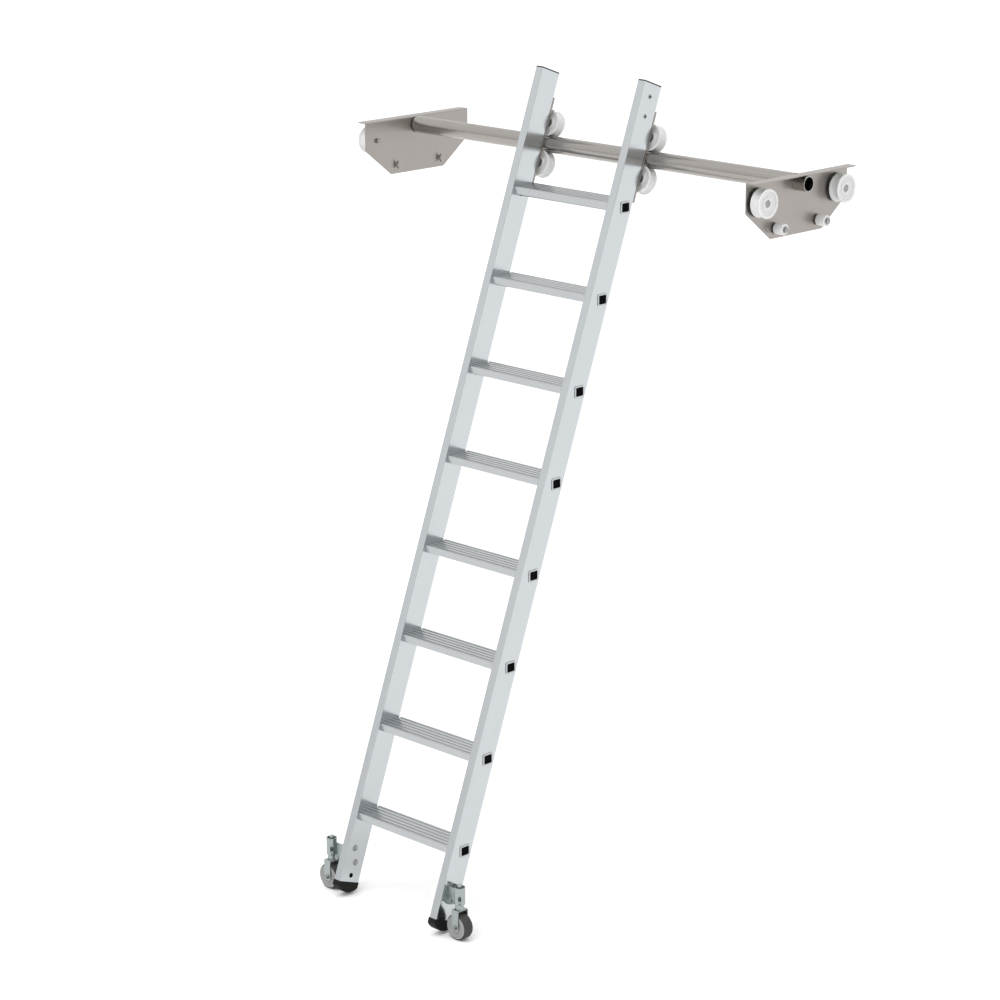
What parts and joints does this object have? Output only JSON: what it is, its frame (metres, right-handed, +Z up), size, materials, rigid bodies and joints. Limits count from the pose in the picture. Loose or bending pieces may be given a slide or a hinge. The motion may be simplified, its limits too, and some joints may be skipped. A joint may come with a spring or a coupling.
{
  "type": "rolling shelf ladder on a cross tube",
  "caption": "Leaning aluminium ladder with flat steps that rolls on a cross tube between two railed end plates, with sprung castors at its foot.",
  "frame": {"origin": "on the cross tube's axis, midway between the end plates", "axes": "+X along the cross tube, +Y away from the climber towards the shelf, +Z up"},
  "size_m": [1.5596, 1.0877, 2.3288],
  "materials": {
    "stile_aluminium": "satin, mirror-like along the faces",
    "step_aluminium": "satin mill finish",
    "stainless": "brushed stainless steel",
    "zinc_steel": "zinc plated",
    "dark_fasteners": "black oxide",
    "bright_fasteners": "bright zinc",
    "white_plastic": "natural white polyamide",
    "dark_spacer": "dark grey plastic",
    "black_plastic": "matt black",
    "black_rubber": "matt black rubber",
    "wheel_hub": "light grey plastic",
    "wheel_tyre": "dark grey rubber",
    "spring_steel": "spring steel"
  },
  "bodies": {
    "end_frame": {"end_plate_left": "stainless", "end_plate_right": "stainless", "guide_roller_bolts": "dark_fasteners", "rail_roller_bolts": "dark_fasteners", "rail_roller_nuts": "bright_fasteners", "rail_roller_spacers": "dark_spacer", "wing_nuts": "bright_fasteners"},
    "traverse": {"traverse_tube": "stainless", "tube_stubs": "stainless"},
    "ladder": {"bracket_bolts": "bright_fasteners", "castor_bracket_left": "zinc_steel", "castor_bracket_right": "zinc_steel", "castor_housing_left": "zinc_steel", "castor_housing_right": "zinc_steel", "castor_spring_left": "spring_steel", "castor_spring_right": "spring_steel", "foot_left": "black_rubber", "foot_pins": "black_plastic", "foot_right": "black_rubber", "rivet_nuts": "bright_fasteners", "roller_axle_bolts": "dark_fasteners", "roller_axle_inserts": "bright_fasteners", "roller_axle_spacers": "dark_spacer", "roller_plate_left": "stainless", "roller_plate_right": "stainless", "roller_plate_screws": "bright_fasteners", "rung_plugs": "black_plastic", "step_1": "step_aluminium", "step_2": "step_aluminium", "step_3": "step_aluminium", "step_4": "step_aluminium", "step_5": "step_aluminium", "step_6": "step_aluminium", "step_7": "step_aluminium", "step_8": "step_aluminium", "stile_end_caps": "black_plastic", "stile_left": "stile_aluminium", "stile_right": "stile_aluminium"},
    "plunger_left": {"castor_axle_left": "bright_fasteners", "castor_fork_left": "zinc_steel", "castor_stem_left": "zinc_steel"},
    "plunger_right": {"castor_axle_right": "bright_fasteners", "castor_fork_right": "zinc_steel", "castor_stem_right": "zinc_steel"},
    "castor_wheel_left": {"castor_hub_left": "wheel_hub", "castor_tyre_left": "wheel_tyre"},
    "castor_wheel_right": {"castor_hub_right": "wheel_hub", "castor_tyre_right": "wheel_tyre"},
    "guide_roller_left_front_body": {"guide_roller_left_front": "white_plastic"},
    "guide_roller_left_rear_body": {"guide_roller_left_rear": "white_plastic"},
    "guide_roller_right_front_body": {"guide_roller_right_front": "white_plastic"},
    "guide_roller_right_rear_body": {"guide_roller_right_rear": "white_plastic"},
    "ladder_roller_lower_left_body": {"ladder_roller_lower_left": "white_plastic"},
    "ladder_roller_lower_right_body": {"ladder_roller_lower_right": "white_plastic"},
    "ladder_roller_upper_left_body": {"ladder_roller_upper_left": "white_plastic"},
    "ladder_roller_upper_right_body": {"ladder_roller_upper_right": "white_plastic"},
    "rail_roller_left_front_body": {"rail_roller_left_front": "white_plastic"},
    "rail_roller_left_rear_body": {"rail_roller_left_rear": "white_plastic"},
    "rail_roller_right_front_body": {"rail_roller_right_front": "white_plastic"},
    "rail_roller_right_rear_body": {"rail_roller_right_rear": "white_plastic"}
  },
  "joints": [
    {"name": "ladder_tilt", "type": "hinge", "parent": "end_frame", "child": "traverse", "pos_m": [0, 0, 0], "axis": [-1, 0, 0], "range_deg": [0, 15]},
    {"name": "ladder_slide", "type": "slide", "parent": "traverse", "child": "ladder", "axis": [1, 0, 0], "range_m": [-0.48, 0.48]},
    {"name": "ladder_roller_upper_left_spin", "type": "hinge", "parent": "ladder", "child": "ladder_roller_upper_left_body", "pos_m": [-0.19725, 0.02055, 0.05584], "axis": [0, 0.9385, -0.3453], "range_deg": [-800, 800]},
    {"name": "ladder_roller_upper_right_spin", "type": "hinge", "parent": "ladder", "child": "ladder_roller_upper_right_body", "pos_m": [0.19725, 0.02055, 0.05584], "axis": [0, 0.9385, -0.3453], "range_deg": [-800, 800]},
    {"name": "ladder_roller_lower_left_spin", "type": "hinge", "parent": "ladder", "child": "ladder_roller_lower_left_body", "pos_m": [-0.19725, -0.02055, -0.05584], "axis": [0, 0.9385, -0.3453], "range_deg": [-800, 800]},
    {"name": "ladder_roller_lower_right_spin", "type": "hinge", "parent": "ladder", "child": "ladder_roller_lower_right_body", "pos_m": [0.19725, -0.02055, -0.05584], "axis": [0, 0.9385, -0.3453], "range_deg": [-800, 800]},
    {"name": "rail_roller_left_front_spin", "type": "hinge", "parent": "end_frame", "child": "rail_roller_left_front_body", "pos_m": [-0.763, -0.167, -0.033], "axis": [1, 0, 0], "continuous": true},
    {"name": "guide_roller_left_front_spin", "type": "hinge", "parent": "end_frame", "child": "guide_roller_left_front_body", "pos_m": [-0.759, -0.09, -0.113], "axis": [1, 0, 0], "continuous": true},
    {"name": "rail_roller_left_rear_spin", "type": "hinge", "parent": "end_frame", "child": "rail_roller_left_rear_body", "pos_m": [-0.763, 0.167, -0.033], "axis": [1, 0, 0], "continuous": true},
    {"name": "guide_roller_left_rear_spin", "type": "hinge", "parent": "end_frame", "child": "guide_roller_left_rear_body", "pos_m": [-0.759, 0.09, -0.113], "axis": [1, 0, 0], "continuous": true},
    {"name": "rail_roller_right_front_spin", "type": "hinge", "parent": "end_frame", "child": "rail_roller_right_front_body", "pos_m": [0.763, -0.167, -0.033], "axis": [1, 0, 0], "continuous": true},
    {"name": "guide_roller_right_front_spin", "type": "hinge", "parent": "end_frame", "child": "guide_roller_right_front_body", "pos_m": [0.759, -0.09, -0.113], "axis": [1, 0, 0], "continuous": true},
    {"name": "rail_roller_right_rear_spin", "type": "hinge", "parent": "end_frame", "child": "rail_roller_right_rear_body", "pos_m": [0.763, 0.167, -0.033], "axis": [1, 0, 0], "continuous": true},
    {"name": "guide_roller_right_rear_spin", "type": "hinge", "parent": "end_frame", "child": "guide_roller_right_rear_body", "pos_m": [0.759, 0.09, -0.113], "axis": [1, 0, 0], "continuous": true},
    {"name": "castor_spring_left_travel", "type": "slide", "parent": "ladder", "child": "plunger_left", "axis": [0, 0, 1], "range_m": [0, 0.014], "stiffness_N_per_m": 9000, "springref_m": -0.004, "deforming": ["castor_spring_left"]},
    {"name": "castor_wheel_left_spin", "type": "hinge", "parent": "plunger_left", "child": "castor_wheel_left", "pos_m": [-0.264, -0.825, -2.0615], "axis": [0, 1, 0], "continuous": true},
    {"name": "castor_spring_right_travel", "type": "slide", "parent": "ladder", "child": "plunger_right", "axis": [0, 0, 1], "range_m": [0, 0.014], "stiffness_N_per_m": 9000, "springref_m": -0.004, "deforming": ["castor_spring_right"]},
    {"name": "castor_wheel_right_spin", "type": "hinge", "parent": "plunger_right", "child": "castor_wheel_right", "pos_m": [0.264, -0.825, -2.0615], "axis": [0, 1, 0], "continuous": true}
  ],
  "couplings": [
    {"joint": "ladder_roller_upper_left_spin", "follows": "ladder_slide", "rad_per_m": 28.985},
    {"joint": "ladder_roller_upper_right_spin", "follows": "ladder_slide", "rad_per_m": 28.985},
    {"joint": "ladder_roller_lower_left_spin", "follows": "ladder_slide", "rad_per_m": -28.985},
    {"joint": "ladder_roller_lower_right_spin", "follows": "ladder_slide", "rad_per_m": -28.985}
  ]
}
